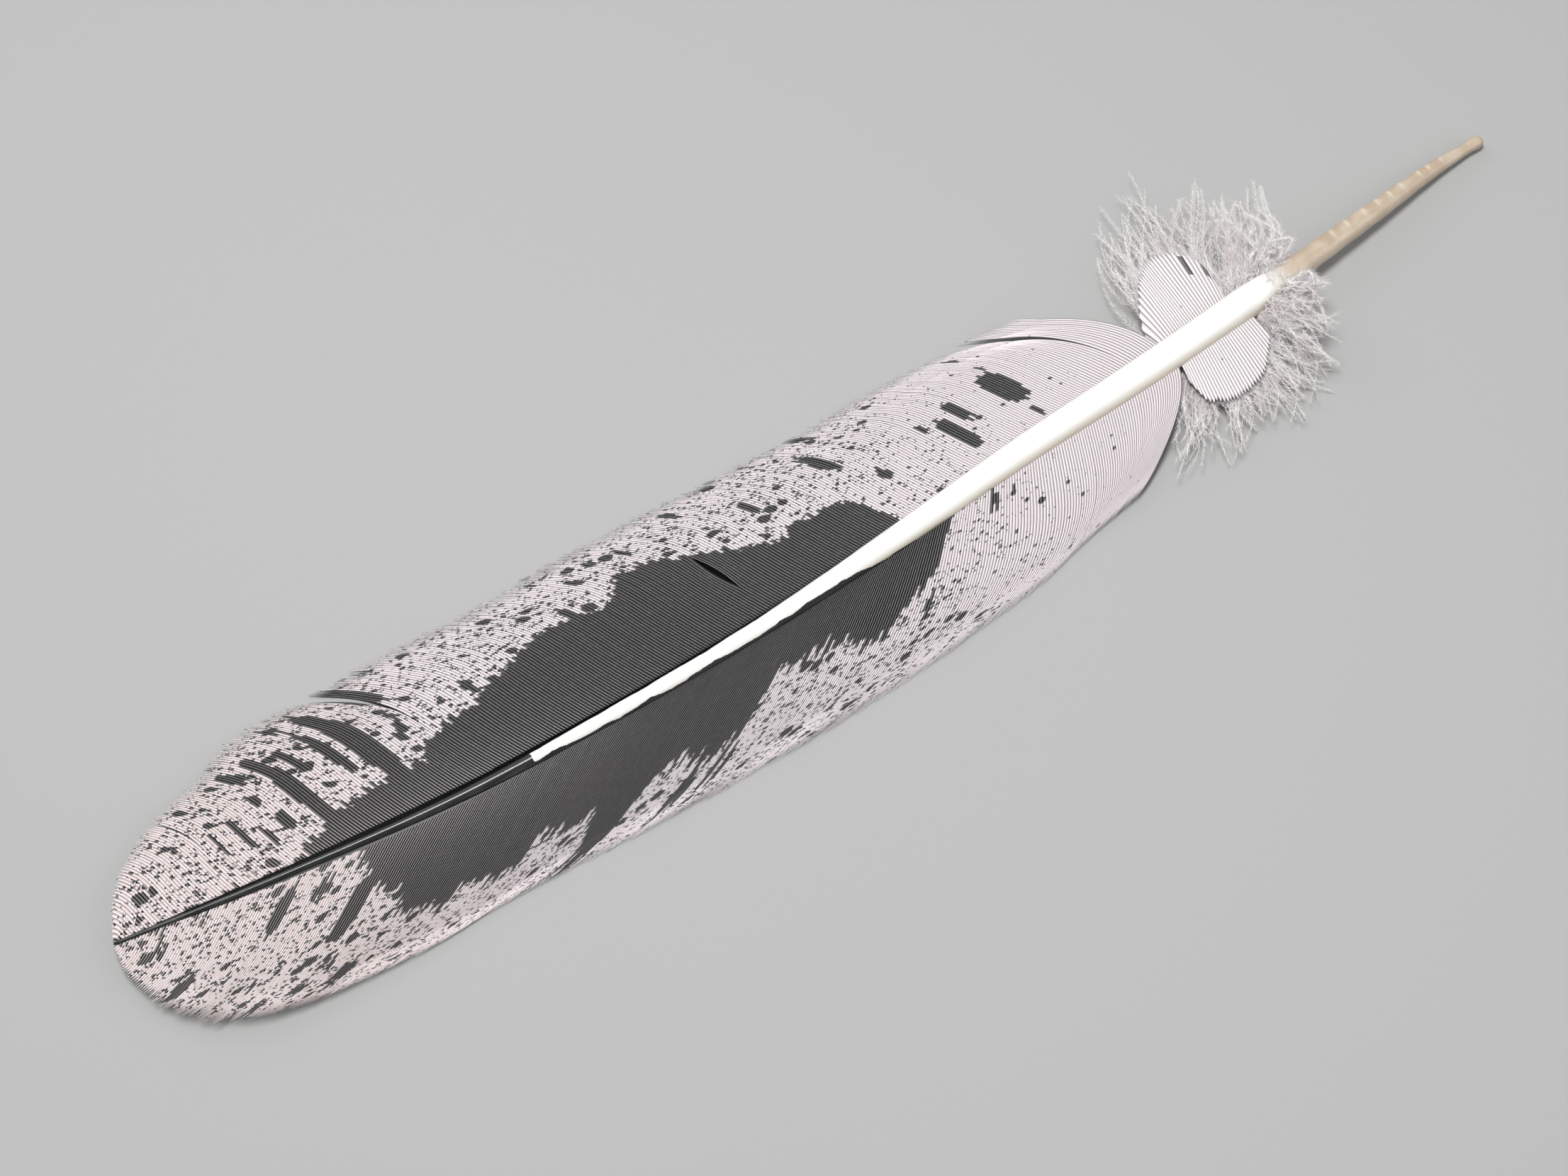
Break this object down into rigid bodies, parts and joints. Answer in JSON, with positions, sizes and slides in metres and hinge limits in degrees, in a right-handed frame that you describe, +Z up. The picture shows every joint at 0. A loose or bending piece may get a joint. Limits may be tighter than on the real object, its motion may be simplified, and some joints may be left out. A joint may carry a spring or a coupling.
{
  "type": "painted feather",
  "caption": "Long flight feather with a bare quill, a ruff of down at its base and two broad vanes, painted white with black bands and spatter; lies on its underside.",
  "frame": {"origin": "middle of the feather's box, on the surface that the feather lies on", "axes": "+X towards the quill's end, -X towards the feather's tip, +Y towards the wider vane, +Z up, out of the painted side"},
  "size_m": [0.3012, 0.0698, 0.0103],
  "materials": {
    "feather": "matt barbs painted off-white, with soft black bands and fine black spatter; satin ivory shaft, black near the tip; horny beige quill; fluffy pale down"
  },
  "bodies": {
    "root": {"feather": "feather"}
  },
  "joints": []
}
